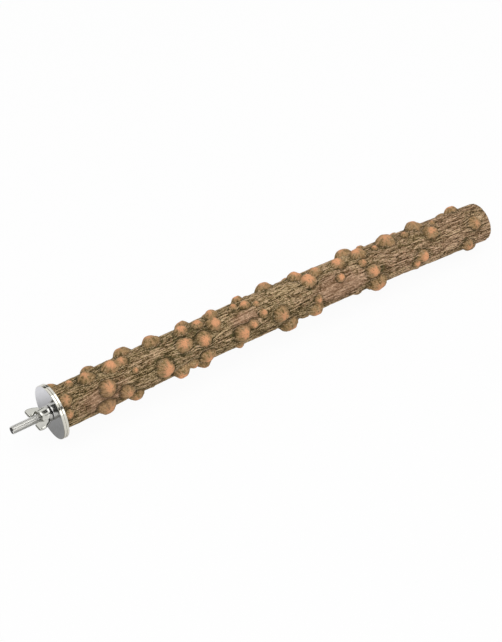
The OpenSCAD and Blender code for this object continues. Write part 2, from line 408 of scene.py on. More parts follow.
def loft(name: str, rings: np.ndarray, looped: bool = False) -> Piece:
    """Makes a skin through rings of points.

    Args:
        name: The piece's name.
        rings: Points by ring, by place round the ring, and by X, Y and Z.
        looped: Whether the last ring joins the first, as on a tube with a wall.

    Returns:
        The object. Where a ring is a single point, its points are still apart.
    """
    count, sides = rings.shape[:2]
    number = np.arange(count * sides).reshape(count, sides)
    here = number if looped else number[:-1]
    there = np.roll(number, -1, axis=0) if looped else number[1:]
    faces = np.stack([here, np.roll(here, -1, axis=1), np.roll(there, -1, axis=1), there], axis=-1)
    return new_piece(name, rings.reshape(-1, 3), faces.reshape(-1, 4).tolist())


def carry(piece: Piece, name: str, values: np.ndarray) -> None:
    """Stores one value for each point of a piece's mesh."""
    layer = piece.data.attributes.new(name, "FLOAT", "POINT")
    layer.data.foreach_set("value", values.astype(np.float32).ravel())


def tidy(piece: Piece, crease: float, outward: bool = False) -> None:
    """Welds a piece's poles shut and shades it smooth, except over sharp edges.

    Args:
        piece: The piece.
        crease: An edge that turns by more than this stays sharp.
        outward: Whether its faces are first turned to look outwards.
    """
    shape = bmesh.new()
    shape.from_mesh(piece.data)
    bmesh.ops.remove_doubles(shape, verts=shape.verts, dist=WELD)
    if outward:
        bmesh.ops.recalc_face_normals(shape, faces=shape.faces)
    shape.to_mesh(piece.data)
    shape.free()
    piece.data.shade_smooth()
    piece.data.set_sharp_from_angle(angle=crease)


def attach(piece: Piece, body: str, node: str, crease: float = 0.7) -> None:
    """Makes a piece plain, smooth and ready, puts it on its body in place of its node, and reports it.

    Args:
        piece: The piece, with its material.
        body: The body that it moves with.
        node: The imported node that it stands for.
        crease: An edge that turns by more than this stays sharp.
    """
    settle(piece)
    tidy(piece, crease)
    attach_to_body(piece, body)
    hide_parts(node)
    LOG.info("%s: %d faces on %s", piece.name, len(piece.data.polygons), body)


def angles(sides: int) -> np.ndarray:
    """Gives evenly spaced angles for one turn, from 0."""
    return np.arange(sides) * TURN / sides


def turned(outline: np.ndarray, sides: int) -> np.ndarray:
    """Turns an outline round the bolt's line.

    Args:
        outline: Rows of how far out along the bolt and how far from its line.
        sides: How many points each ring has.

    Returns:
        Rings of points for loft().
    """
    angle = angles(sides)
    out, radius = outline[:, 0, None], outline[:, 1, None]
    return np.stack([-out + 0 * angle, radius * np.sin(angle), radius * np.cos(angle)], axis=-1)


def rounded(corners: Sequence[tuple[float, float, float]], steps: int, hold: float) -> np.ndarray:
    """Rounds the corners of a closed outline.

    Args:
        corners: How far out, how far from the line, and the rounding of each corner in turn.
        steps: How many flats each rounding has.
        hold: How far beyond a rounding an extra point keeps the flat face flat.

    Returns:
        The outline's rows, with its first row repeated at the end.
    """
    spots = [np.array(corner[:2]) for corner in corners]
    rows = []
    for index, (*_, fillet) in enumerate(corners):
        spot = spots[index]
        back = spots[index - 1] - spot
        ahead = spots[(index + 1) % len(spots)] - spot
        back, ahead = back / np.linalg.norm(back), ahead / np.linalg.norm(ahead)
        rows.append(spot + back * (fillet + hold))
        for step in range(steps + 1):
            swing = math.pi / 2 * step / steps
            rows.append(spot + fillet * ((1 - math.sin(swing)) * back + (1 - math.cos(swing)) * ahead))
        rows.append(spot + ahead * (fillet + hold))
    return np.array(rows + rows[:1])


def walk(stops: Sequence[Sequence[float]], step: float) -> np.ndarray:
    """Puts extra points along an outline.

    Args:
        stops: The outline's own rows.
        step: The longest way between two points.

    Returns:
        All the rows, from the first stop to the last.
    """
    rows = [np.array(stops[0], float)]
    for stop in stops[1:]:
        start, end = rows[-1], np.array(stop, float)
        count = max(1, math.ceil(np.linalg.norm(end - start) / step))
        rows += [start + (end - start) * k / count for k in range(1, count + 1)]
    return np.array(rows)


def saw_depth(bench: Bench, spot: Wire) -> Wire:
    """Works out how deep the saw bit into the branch's cut end.

    Args:
        bench: The tree that the depth is worked out in.
        spot: The place on the branch.

    Returns:
        The depth, from 0 to 1, in nearly straight marks across the end.
    """
    _, side, up = bench.split(spot)
    drift = bench.noise(spot, (0.0, 90.0, 90.0), 1.0)
    across = side * 0.35 + up + drift * (1.6 * MM)
    stroke = 1.3 * MM
    strokes = (across * (TURN / stroke)).sine() * 0.3 + 0.3
    return strokes + bench.noise(spot, (0.0, 900.0, 260.0), 2.0) * 0.4


def bark_ridges(bench: Bench, grain: Wire) -> Wire:
    """Works out how high the bark's ridges stand between its long cracks, which split and join again.

    Args:
        bench: The tree that the height is worked out in.
        grain: The place in the bark, along and round its fibres.

    Returns:
        A value round 0.5, from about 0.2 in a crack to about 0.8 on a ridge.
    """
    ridges = bench.noise(grain, (90.0, 1000.0, 1000.0), 1.0, 2.0)
    swells = bench.noise(grain, (50.0, 240.0, 240.0), 1.0, 6.0)
    height = ridges * 0.7 + swells * 0.35
    wander = bench.noise(grain, (46.0, 480.0, 480.0), 1.5, 9.0) - 0.5
    return height + wander.size().band(0.0, 0.08) * 0.28 - 0.235


@dataclass(frozen=True)
class BarkFinish:
    """Rough brown bark with olive cracks and pale ridges, streaked tan knobs with worn orange hearts, and
    the bark's own dark and pale layers where it is sawn through.
    """

    olive: tuple[Colour, ...] = (
        seen(52, 42, 16), seen(94, 78, 40), seen(138, 116, 79), seen(172, 147, 106), seen(220, 192, 150),
    )
    ruddy: tuple[Colour, ...] = (
        seen(72, 50, 28), seen(112, 83, 54), seen(150, 117, 89), seen(180, 145, 115), seen(224, 188, 156),
    )
    # Painted shade for the cleft round each knob's foot, where the knob shades the bark
    cleft: Colour = seen(50, 44, 20)
    moss: Colour = seen(112, 112, 62)
    skin: Colour = seen(182, 146, 103)
    skin_dark: Colour = seen(136, 108, 68)
    crown: Colour = seen(200, 153, 114)
    heart: Colour = seen(240, 170, 122)
    cork: Colour = seen(84, 62, 40)
    bast: Colour = seen(158, 118, 82)
    places: tuple[float, ...] = (0.26, 0.38, 0.50, 0.61, 0.74)
    bump: float = 0.6 * MM

    def tones(self, paint: Paint, tone: Wire, colours: tuple[Colour, ...]) -> Wire:
        """Colours the bark by how high it stands, with one colour for each of the ramp's places."""
        stops = list(zip(self.places, colours))
        return paint.node("ShaderNodeValToRGB", {"stops": stops}, {"Fac": tone}, "Color")

    def mix(self) -> bpy.types.Material:
        """Mixes the bark's material from the marks that its mesh carries."""
        paint = Paint("bark_finish")
        grain = paint.mark("grain", "Vector")
        crown, far, patch = (paint.mark(name) for name in ("crown", "knob_reach", "patch"))
        fibres = paint.noise(grain, (380.0, 2100.0, 2100.0), 2.0) - 0.5
        specks = paint.noise(paint.spot(), (1250.0, 1250.0, 1250.0), 1.5, 5.0) - 0.5
        blots = paint.noise(grain, (30.0, 90.0, 90.0), 2.0, 11.0) - 0.5
        dabs = paint.noise(paint.spot(), (420.0, 420.0, 420.0), 2.0, 7.0) - 0.5
        streaks = paint.noise(paint.mark("spoke", "Vector"), (3.6, 3.6, 1.1), 2.0, 17.0) - 0.5
        knob = far.band(1.2, 0.8)
        # How high the bark stands, with its fibres, specks and fine splits
        splits = (paint.noise(grain, (120.0, 1000.0, 1000.0), 1.0, 13.0) - 0.5).size().band(0.0, 0.06)
        along, _, _ = paint.split(grain)
        tone = (bark_ridges(paint, grain) - 0.5) * 0.85 * (1 - knob * 0.6) * (1 - patch * 0.45)
        tone = tone + along.band(0.0, 0.2) * 0.03 + 0.525
        tone = tone + (fibres * 0.9 + specks * 0.85) * (1 - patch * 0.55) + dabs * 0.3
        tone = tone + (splits - 0.85) * (1 - knob * 0.5) * (1 - patch * 0.5) * 0.18
        # It is redder towards the cut end, in the smooth patches and in blots, and green where it is damp
        warmth = along.band(0.14, 0.34) * 0.5 + patch * 1.2 + blots * 2.0 + specks * 1.1 + dabs * 1.8 + 0.08
        warmth = warmth.most(0.0).least(1.0)
        colour = paint.mix(self.tones(paint, tone, self.olive), self.tones(paint, tone, self.ruddy), warmth)
        damp = (far.band(1.9, 1.2) * 0.45 + blots * 1.6 + dabs * 1.6).band(0.2, 0.7) * (1 - patch)
        colour = paint.mix(colour, self.moss, damp * tone.band(0.75, 0.5) * 0.5)
        # Round each knob's foot it is dark: shade is painted into the cleft there, patchy with the dabs and
        # blots
        foot_shade_strength = (0.75 + dabs * 2.4 + blots * 1.5).most(0.2).least(1.0)
        foot = far.band(1.45, 1.12) * far.band(0.84, 1.02) * foot_shade_strength
        colour = paint.mix(colour, self.cleft, foot * tone.band(0.9, 0.5) * 0.95)
        # The knobs' tan skin is worn through to an orange heart on their crowns, and scarred again
        fair = (streaks * 2.4 + specks * 1.6 + dabs * 0.6 + 0.62).band(0.2, 0.8)
        skin = paint.mix(self.skin_dark, self.skin, fair)
        colour = paint.mix(colour, skin, knob * (0.72 + dabs * 0.8 + streaks * 1.5).least(1.0).most(0.0))
        worn = (crown * 1.1 + streaks * 1.6 + specks * 0.8 + dabs * 0.4).band(0.0, 1.1)
        colour = paint.mix(colour, self.crown, worn * 0.9)
        bare = (crown * 1.15 + streaks * 1.7 + specks * 0.9 + dabs * 0.5).band(0.3, 1.25)
        colour = paint.mix(colour, self.heart, bare * 0.9)
        scars = (specks * 1.3 + streaks * 1.6 + dabs * 0.6).band(0.02, 0.5)
        colour = paint.mix(colour, self.skin_dark, scars * crown.band(0.0, 0.4) * 0.85)
        # The saw shows dark cork outside and paler bast inside
        sawn, depth = paint.mark("sawn"), paint.mark("inset")
        inner = (depth + (specks + dabs * 1.5) * (1.6 * MM)).band(0.5 * MM, 2.0 * MM)
        section = paint.mix(self.cork, self.bast, inner * (1 - depth.band(2.7 * MM, 2.95 * MM) * 0.6))
        colour = paint.mix(colour, section, sawn * (0.95 + dabs * 0.5).least(1.0))
        return paint.finish({
            "Base Color": colour,
            "Roughness": 0.88 - worn * 0.22,
            "Specular IOR Level": 0.3,
            "Normal": paint.bumps(tone * (1 - knob * 0.5) * (1 - sawn * 0.85), self.bump),
        })


@dataclass(frozen=True)
class EndGrainFinish:
    """Sawn pale wood with growth rings round its pith."""

    centre: tuple[float, float, float]
    pale: Colour = seen(216, 188, 142)
    ring: Colour = seen(176, 142, 98)
    pith: Colour = seen(118, 90, 60)
    ring_step: float = 1.7 * MM

    def mix(self) -> bpy.types.Material:
        """Mixes the wood's material, with its rings round the pith at the cut end."""
        paint = Paint("end_grain")
        spot = paint.spot()
        _, side, up = paint.split(paint.vector("SUBTRACT", spot, self.centre))
        wander = paint.noise(spot, (0.0, 160.0, 160.0), 2.0) * (1.5 * MM)
        reach = side.reach(up) + wander
        rings = (reach * (TURN / self.ring_step)).sine() * 0.5 + 0.5
        pores = paint.noise(spot, (60.0, 2600.0, 2600.0), 2.0)
        fan = paint.joined(paint.math("ARCTAN2", side, up) * 9.0, reach * 90.0, 0.0)
        rays = paint.noise(fan, (1.0, 1.0, 1.0), 3.0)
        colour = paint.mix(self.pale, self.ring, rings.band(0.55, 1.0) * 0.65)
        colour = paint.mix(colour, self.ring, rays.band(0.5, 0.7) * 0.5)
        colour = paint.mix(colour, self.pith, pores.band(0.6, 0.75) * 0.35)
        colour = paint.mix(colour, self.pith, reach.band(2.0 * MM, 0.8 * MM))
        return paint.finish({
            "Base Color": colour,
            "Roughness": 0.75 - rings * 0.1,
            "Normal": paint.bumps(pores + saw_depth(paint, spot), 0.06 * MM),
        })


class Marks(Enum):
    """How a metal piece was worked, which sets the way that its faint marks run."""

    TURNED = "rings round the bolt's line"
    ROLLED = "lines along the bolt"
    CAST = "no direction"


@dataclass(frozen=True)
class SteelFinish:
    """Bright metal with faint working marks and smears.

    Past the bolt's sheared end, or past a washer's rim, it takes on another colour.
    """

    name: str
    marks: Marks
    tint: Colour
    dull: Colour
    roughness: float
    sheared_past: float = math.inf
    sheared: Colour = seen(33, 32, 32)
    sheared_rough: float = 0.35
    sheared_edge: float = 0.04 * MM
    rim_past: float = math.inf
    rim: Colour = seen(224, 221, 210)
    rim_edge: float = 0.05 * MM

    def lines(self, paint: Paint, spot: Wire) -> Wire:
        """Makes the faint marks that working the piece left.

        Args:
            paint: The material's bench.
            spot: The place on the piece.

        Returns:
            The marks' height, from 0 to 1.
        """
        if self.marks is Marks.CAST:
            return paint.noise(spot, (900.0, 900.0, 900.0), 3.0)
        if self.marks is Marks.ROLLED:
            return paint.noise(spot, (150.0, 4000.0, 4000.0), 2.0)
        _, side, up = paint.split(spot)
        reach = side.reach(up)
        swing = paint.math("ARCTAN2", side, up)
        return paint.noise(paint.joined(reach, swing * (1.2 * MM), 0.0), (6000.0, 900.0, 1.0), 2.0)

    def mix(self) -> bpy.types.Material:
        """Mixes the metal's material."""
        paint = Paint(self.name)
        spot = paint.spot()
        lines = self.lines(paint, spot)
        smears = paint.noise(spot, (160.0, 160.0, 160.0), 3.0, 4.0)
        colour = paint.mix(self.tint, self.dull, smears.band(0.5, 0.75) * 0.6 + lines * 0.15)
        rough = self.roughness * (0.7 + lines * 0.3 + smears * 0.5)
        along, side, up = paint.split(spot)
        if math.isfinite(self.sheared_past):
            end, edge = -self.sheared_past, self.sheared_edge
            sheared = along.band(end + edge, end - edge)
            colour = paint.mix(colour, self.sheared, sheared)
            rough = rough + sheared * self.sheared_rough
        if math.isfinite(self.rim_past):
            rim = side.reach(up).band(self.rim_past - self.rim_edge, self.rim_past + self.rim_edge)
            colour = paint.mix(colour, self.rim, rim)
        return paint.finish({
            "Base Color": colour,
            "Metallic": 1.0,
            "Roughness": rough,
            "Normal": paint.bumps(lines, 0.006 * MM, 0.6),
        })


@dataclass
class Branch:
    """The branch: its bark with the knobs that grow out of it, and the wood inside."""

    start_x: float
    length: float
    knobs: list[tuple[float, float, float]]
    patches: list[tuple[float, float, float, float]]
    radius: float = 14.9 * MM
    bark: float = 3.0 * MM
    swell: float = 0.4 * MM
    waves: float = 2.6
    oval: float = 0.5
    bow: float = 3.0 * MM
    drop: float = 5.0 * MM
    drift: float = 5.0 * MM
    end_round: float = 1.5 * MM
    knob_r: float = 5.8 * MM
    knob_h: float = 4.4 * MM
    knob_long: float = 1.12
    foot_fillet: float = 1.3 * MM
    furrow: float = 0.6 * MM
    lean: float = 0.16
    wear: tuple[float, float] = (0.6, 1.1)
    hole_r: float = 2.25 * MM
    hole_deep: float = 42.0 * MM
    mouth_r: float = 2.73 * MM
    mouth_deep: float = 4.05 * MM
    skin_rings: int = 350
    inner_rings: int = 12
    face_rings: int = 2
    end_rings: int = 30
    sides: int = 264
    seed: int = 7

    def middle(self, along: np.ndarray) -> np.ndarray:
        """Works out the branch's middle line.

        Args:
            along: Shares of the branch's length.

        Returns:
            The places, with X, Y and Z last.
        """
        x = self.start_x + along * self.length
        y = -self.drift * along**2
        z = self.bow * np.sin(math.pi * along) - self.drop * along**2
        return np.stack([x, y, z], axis=-1)

    def over_bark(self, along: np.ndarray, around: np.ndarray) -> np.ndarray:
        """Works out the branch's radius over the bark, between the knobs.

        Args:
            along: Shares of the branch's length.
            around: Angles round the branch, from the top towards -Y.

        Returns:
            The radius at each place.
        """
        lengthwise = np.sin(TURN * self.waves * along)
        across = self.oval * np.cos(2 * around + along * math.pi / 2)
        return self.radius + self.swell * (lengthwise + across) / 2

    def ring(self, along: Sequence[float], ahead: Sequence[float], inset: Sequence[float]) -> np.ndarray:
        """Makes rings of points round the branch.

        Args:
            along: Each ring's share of the length.
            ahead: How far past that share each ring stands.
            inset: How far under the bark's surface each ring lies.

        Returns:
            The rings, for loft().
        """
        share, past, under = (np.array(values, float)[:, None] for values in (along, ahead, inset))
        around = angles(self.sides)[None, :]
        reach = self.over_bark(share, around) - under
        offset = np.stack([past + 0 * around, -reach * np.sin(around), reach * np.cos(around)], axis=-1)
        return self.middle(share) + offset

    def bark_shell(self) -> Piece:
        """Makes the plain shell of the bark, with the marks that its growth needs."""
        # Over the rounded edge of the cut end, the furrows fade out and the sawn look fades in
        rough_edge, sawn_edge = (0.9, 0.6, 0.3, 0.1), (0, 0.2, 0.6, 1)
        last = 1 - self.end_round / self.length
        swings = np.linspace(0, math.pi / 2, len(rough_edge) + 1)[1:]
        inner = np.linspace(1, 0, self.inner_rings)
        face = np.linspace(self.end_round, self.bark, self.face_rings + 2)[1:-1]
        skin = np.linspace(0, last, self.skin_rings)
        skin_0, face_0, inner_0 = ([0] * len(rings) for rings in (skin, face, inner))
        along = [*skin, *[last] * (len(swings) + len(face)), *inner]
        ahead = [*skin_0, *self.end_round * np.sin(swings), *[self.end_round] * len(face), *inner_0]
        inset = [*skin_0, *self.end_round * (1 - np.cos(swings)), *face, *[self.bark] * len(inner)]
        rough = [*[1] * len(skin), *rough_edge, *face_0, *inner_0]
        sawn = [*skin_0, *sawn_edge, *[1] * len(face), 1, *inner_0[1:]]
        shell = loft("bark_with_knobs", self.ring(along, ahead, inset), looped=True)
        around = angles(self.sides)
        for name, values in {"along": along, "inset": inset, "rough": rough, "sawn": sawn}.items():
            carry(shell, name, np.repeat(np.array(values, float), self.sides))
        carry(shell, "around", np.tile(around, len(along)))
        carry(shell, "patch", self.smoothness(np.array(along)[:, None], around[None, :]))
        return shell

    def smoothness(self, along: np.ndarray, around: np.ndarray) -> np.ndarray:
        """Works out where the bark is smoother and redder.

        Args:
            along: Shares of the branch's length.
            around: Angles round the branch.

        Returns:
            A share from 0 to 1 for each place.
        """
        smooth = 0 * along * around
        for middle, angle, half, spread in self.patches:
            swing = (around - math.radians(angle) + math.pi) % TURN - math.pi
            reach = np.hypot((along - middle) / half, swing / math.radians(spread))
            # It is full up to half way out, and gone a third past the patch's edge
            smooth = np.maximum(smooth, np.clip(1.6 - 1.2 * reach, 0, 1))
        return smooth

    def knob_places(self) -> Piece:
        """Makes one loose point for each knob, at its share of the length, its angle and its size."""
        rows = [(along, math.radians(around), size) for along, around, size in self.knobs]
        return new_piece("knob_places", np.array(rows), [])

    def grow_bark(self, shell: Piece, knobs: Piece) -> None:
        """Grows the knobs and the furrowed bark on the shell.

        Args:
            shell: The plain shell, with its marks.
            knobs: The loose points that stand for the knobs.
        """
        grow = Grower("grow_bark", {
            "Knobs": knobs,
            "Length": self.length,
            "Radius": self.radius,
            "Knob radius": self.knob_r,
            "Knob height": self.knob_h,
            "Knob stretch": self.knob_long,
            "Foot fillet": self.foot_fillet,
            "Furrow depth": self.furrow,
            "Saw depth": SAW_DEPTH,
            "Seed": self.seed,
            "Finish": BarkFinish().mix(),
        })
        along, around, rough = (grow.named(name) for name in ("along", "around", "rough"))
        spot = grow.spot()
        length, radius, seed = (grow.given(label) for label in ("Length", "Radius", "Seed"))
        places = grow.node("GeometryNodeObjectInfo", {}, {"Object": grow.given("Knobs")}, "Geometry")
        count = grow.node("GeometryNodeAttributeDomainSize", {}, {"Geometry": places}, "Point Count")
        wobble = grow.noise(spot, (150.0, 150.0, 150.0), 2.0) - 0.5
        lumps = grow.noise(spot, (380.0, 380.0, 380.0), 2.0, 3.0) - 0.5

        def add_knob(number: Wire, so_far: dict[str, Wire]) -> dict[str, Wire]:
            """Raises one knob over the bark.

            Lengths count the knob's own radius as 1. Its dome is a soft mound under a fuller cap.

            Args:
                number: The knob's number.
                so_far: What the knobs before it have made: the height, the fibres' shift, how worn a crown
                    is, and how far the nearest knob's middle is and in which direction.

            Returns:
                The same with this knob.
            """
            sample = {"Geometry": places, "Value": spot, "Index": number}
            place = grow.node("GeometryNodeSampleIndex", {"data_type": "FLOAT_VECTOR"}, sample)
            knob_along, knob_around, knob_size = grow.split(place)
            foot = grow.given("Knob radius") * knob_size
            lean_x = grow.chance(number, -self.lean, self.lean, seed)
            lean_y = grow.chance(number, -self.lean, self.lean, seed + 1)
            wear = grow.chance(number, *self.wear, seed + 2)
            apart = grow.math("WRAP", around - knob_around, math.pi, -math.pi)
            off_x = (along - knob_along) * length / foot / grow.given("Knob stretch")
            off_y = apart * radius / foot
            top = grow.given("Knob height") * knob_size
            plain = off_x.reach(off_y)
            far = plain + wobble * 0.95
            nearer = grow.math("LESS_THAN", far, so_far["Reach"])
            from_top = (off_x + lean_x).reach(off_y + lean_y) + wobble * 1.1
            dome = far.band(1.32, 0.25) * 0.42 + (1 - (far / 1.04) ** 2.6).most(0.0) * 0.58
            blend = far.band(1.35, 1.05) * grow.given("Foot fillet")
            return {
                "Height": grow.math("SMOOTH_MAX", so_far["Height"], top * dome, blend),
                "Shift": so_far["Shift"] - apart * far.band(1.7, 0.8) * 0.3,
                "Crown": so_far["Crown"].most(from_top.band(1.0, 0.1) * wear * 1.15),
                "Reach": so_far["Reach"].least(far),
                "Spoke x": so_far["Spoke x"] + (off_x / plain.most(0.05) - so_far["Spoke x"]) * nearer,
                "Spoke y": so_far["Spoke y"] + (off_y / plain.most(0.05) - so_far["Spoke y"]) * nearer,
            }

        no_knob = 9.0
        start = {"Height": 0.0, "Shift": 0.0, "Crown": 0.0, "Reach": no_knob, "Spoke x": 0.0, "Spoke y": 0.0}
        grown = grow.repeat(count, start, add_knob)
        # The bark's fibres flow round the knobs
        flow = around + grown["Shift"]
        grain = grow.joined(along * length, flow.sine() * radius * -1.0, flow.cosine() * radius)
        reach = grown["Reach"]
        # Ridges stand up between the furrows, lower on the knobs and patches, with a cleft round each foot
        cleft = reach.band(1.5, 1.1) * reach.band(0.8, 1.05)
        ridge = bark_ridges(grow, grain).band(0.34, 0.64)
        calm = (1 - grown["Crown"] * 0.6) * (1 - reach.band(1.15, 0.8) * 0.4)
        calm = calm * (1 - grow.named("patch") * 0.5)
        lumpy = lumps * (0.3 + reach.band(1.2, 0.9) * 0.7)
        lift = ((ridge - 0.6) * calm - cleft * 0.7 + wobble * 0.8 + lumpy) * grow.given("Furrow depth")
        raised = (grown["Height"] + lift) * rough
        out = grow.joined(0.0, around.sine() * -1.0, around.cosine())
        bite = saw_depth(grow, spot) * grow.given("Saw depth") * grow.named("sawn")
        bulge = grow.node("ShaderNodeVectorMath", {"operation": "SCALE"}, {0: out, "Scale": raised})
        made = grow.moved(grow.vector("ADD", bulge, grow.joined(bite * -1.0, 0.0, 0.0)))
        made = grow.keep(grow.keep(made, "crown", grown["Crown"]), "knob_reach", reach)
        spoke = grow.joined(grown["Spoke x"], grown["Spoke y"], reach)
        made = grow.keep(made, "spoke", spoke, "FLOAT_VECTOR")
        grow.finish(shell, grow.keep(made, "grain", grain, "FLOAT_VECTOR"))

    def build_bark(self) -> None:
        """Builds the bark with its knobs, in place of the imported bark."""
        shell, knobs = self.bark_shell(), self.knob_places()
        self.grow_bark(shell, knobs)
        attach(shell, "branch", "bark", crease=math.pi)
        bpy.data.objects.remove(knobs)

    def build_wood(self) -> None:
        """Builds the wood under the bark, drilled for the bolt and sawn at the cut end."""
        angle = angles(self.sides)
        hole = walk([
            (self.hole_deep, 0), (self.hole_deep, self.hole_r), (self.mouth_deep, self.hole_r),
            (self.mouth_deep, self.mouth_r), (0, self.mouth_r),
        ], step=8 * MM)
        bore = np.stack([
            self.start_x + hole[:, 0, None] + 0 * angle,
            -hole[:, 1, None] * np.sin(angle),
            hole[:, 1, None] * np.cos(angle),
        ], axis=-1)
        wall = np.linspace(0, 1, self.inner_rings)
        outside = self.ring(wall, 0 * wall, 0 * wall + self.bark)
        inward = np.linspace(1, 0, self.end_rings)[1:, None, None]
        heart = self.middle(np.array([[1.0]]))
        end = heart + (outside[-1:] - heart) * inward
        wood = loft("sawn_wood_core", np.concatenate([bore, outside, end]))
        sawn = np.concatenate([np.zeros(len(bore) + len(outside) - 1), np.ones(1 + len(end))])
        carry(wood, "sawn", np.repeat(sawn, self.sides))
        saw = Grower("saw_end", {"Saw depth": SAW_DEPTH, "Finish": EndGrainFinish(tuple(heart[0, 0])).mix()})
        bite = saw_depth(saw, saw.spot()) * saw.given("Saw depth") * saw.named("sawn")
        saw.finish(wood, saw.moved(saw.joined(bite * -1.0, 0.0, 0.0)))
        attach(wood, "branch", "wood_core")


@dataclass(frozen=True)
class Thread:
    """A screw thread's sizes: radii are from the bolt's line, and places are out along it, towards -X."""

    pitch: float
    start: float
    flank_r: float
    half_crest: float
    steep: float
    low_r: float
    high_r: float
    begin: float
    end: float
    fade: float

    def cut(self, piece: Piece, finish: bpy.types.Material) -> None:
        """Cuts the thread into a turned piece.

        Args:
            piece: The piece, which still has to be settled.
            finish: The piece's material.
        """
        sizes = asdict(self)
        grow = Grower("cut_thread", {**sizes, "Finish": finish})
        pitch, start, flank_r, half_crest, steep, low_r, high_r, begin, end, fade = map(grow.given, sizes)
        x, side, up = grow.split(grow.spot())
        out, reach = x * -1.0, side.reach(up)
        turns = (out - start) / pitch - grow.math("ARCTAN2", side, up) / TURN
        away = grow.math("WRAP", turns, 0.5, -0.5).size() * pitch
        thread_r = (flank_r + (half_crest - away) * steep).most(low_r).least(high_r)
        begun, left = out.band(begin, begin + fade), out.band(end, end - fade)
        scale = (reach - (reach - thread_r).most(0.0) * begun * left) / reach
        grow.finish(piece, grow.moved(grow.joined(x, side * scale, up * scale), "Position"))


@dataclass
class HangerBolt:
    """The double-ended bolt, with a machine thread outside the branch and a wood thread inside it."""

    tip: float
    point: float
    face: float
    stud_r: float = 2.95 * MM
    depth: float = 0.55 * MM
    pitch: float = 1.0 * MM
    crest: float = 0.15 * MM
    chamfer: float = 0.6 * MM
    shank_r: float = 2.68 * MM
    shank_in: float = 4.0 * MM
    thread_from: float = -1.0 * MM
    wood_core_r: float = 2.2 * MM
    wood_crest_r: float = 3.0 * MM
    wood_pitch: float = 2.5 * MM
    point_len: float = 5.0 * MM
    point_blunt: float = 0.15
    flank_lean: float = math.radians(30)
    sides: int = 48

    def machine_thread(self) -> Thread:
        """Gives the thread outside the branch, whose groove starts where its turned part starts."""
        return Thread(
            pitch=self.pitch,
            start=self.thread_from + self.pitch / 2,
            flank_r=self.stud_r,
            half_crest=self.crest / 2,
            steep=1 / math.tan(self.flank_lean),
            low_r=self.stud_r - self.depth,
            high_r=self.stud_r,
            begin=self.thread_from,
            end=self.tip + self.pitch,
            fade=self.pitch / 2,
        )

    def wood_thread(self) -> Thread:
        """Gives the coarse thread inside the branch."""
        foot, crest = self.wood_pitch * 0.32, self.wood_pitch * 0.08
        height = self.wood_crest_r - self.wood_core_r
        return Thread(
            pitch=self.wood_pitch,
            start=self.point + self.point_len + foot,
            flank_r=self.wood_crest_r,
            half_crest=crest / 2,
            steep=height / ((foot - crest) / 2),
            low_r=self.wood_core_r,
            high_r=self.wood_crest_r,
            begin=self.point - self.point_len,
            end=self.face - self.shank_in,
            fade=0.01 * MM,
        )

    def outline(self) -> np.ndarray:
        """Lays out the turned outline from the point to the outer end, with close rows where threads are."""
        shank = self.face - self.shank_in
        wood = walk([
            (self.point, 0),
            (self.point, self.wood_core_r * self.point_blunt),
            (self.point + self.point_len, self.wood_core_r),
            (self.point + self.point_len + self.wood_pitch, self.wood_crest_r),
            (shank - self.wood_pitch, self.wood_crest_r),
            (shank - self.wood_pitch / 2, self.wood_core_r),
            (shank, self.wood_core_r),
            (shank + (self.shank_r - self.wood_core_r), self.shank_r),
        ], self.wood_pitch / RINGS_A_TURN)
        plain = walk([(shank + 1 * MM, self.shank_r), (self.thread_from, self.shank_r)], step=1 * MM)
        end_r = self.stud_r - self.chamfer
        stud = walk([
            (self.thread_from + self.stud_r - self.shank_r, self.stud_r),
            (self.tip - self.chamfer, self.stud_r),
            (self.tip, end_r),
        ], self.pitch / RINGS_A_TURN)
        end = np.array([(self.tip, end_r * share) for share in (0.97, 0.8, 0.4, 0)])
        return np.concatenate([wood, plain, stud, end])

    def build(self) -> None:
        """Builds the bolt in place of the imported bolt."""
        bolt = loft("threaded_bolt", turned(self.outline(), self.sides))
        finish = SteelFinish(
            "bolt_plate", Marks.ROLLED, seen(227, 226, 222), seen(199, 198, 195), roughness=0.14,
            sheared_past=self.tip - 0.03 * MM,
        ).mix()
        self.machine_thread().cut(bolt, finish)
        self.wood_thread().cut(bolt, finish)
        attach(bolt, "branch", "hanger_bolt")


@dataclass
class Washer:
    """One broad stamped washer on the bolt."""

    node: str
    low: float
    high: float
    radius: float
    bore: float = 3.25 * MM
    rim_round: float = 0.35 * MM
    bore_round: float = 0.2 * MM
    room: float = 0.02 * MM
    sides: int = 160

    def build(self) -> None:
        """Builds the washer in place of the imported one."""
        low, high = self.low + self.room, self.high - self.room
        outline = rounded([
            (low, self.bore, self.bore_round),
            (low, self.radius, self.rim_round),
            (high, self.radius, self.rim_round),
            (high, self.bore, self.bore_round),
        ], steps=5, hold=0.08 * MM)
        washer = loft(self.node + "_plate", turned(outline, self.sides))
        finish = SteelFinish(
            self.node + "_steel", Marks.TURNED, seen(232, 232, 237), seen(214, 214, 219), roughness=0.1,
            rim_past=self.radius - self.rim_round,
        ).mix()
        washer.data.materials.append(finish)
        attach(washer, self.node, self.node)


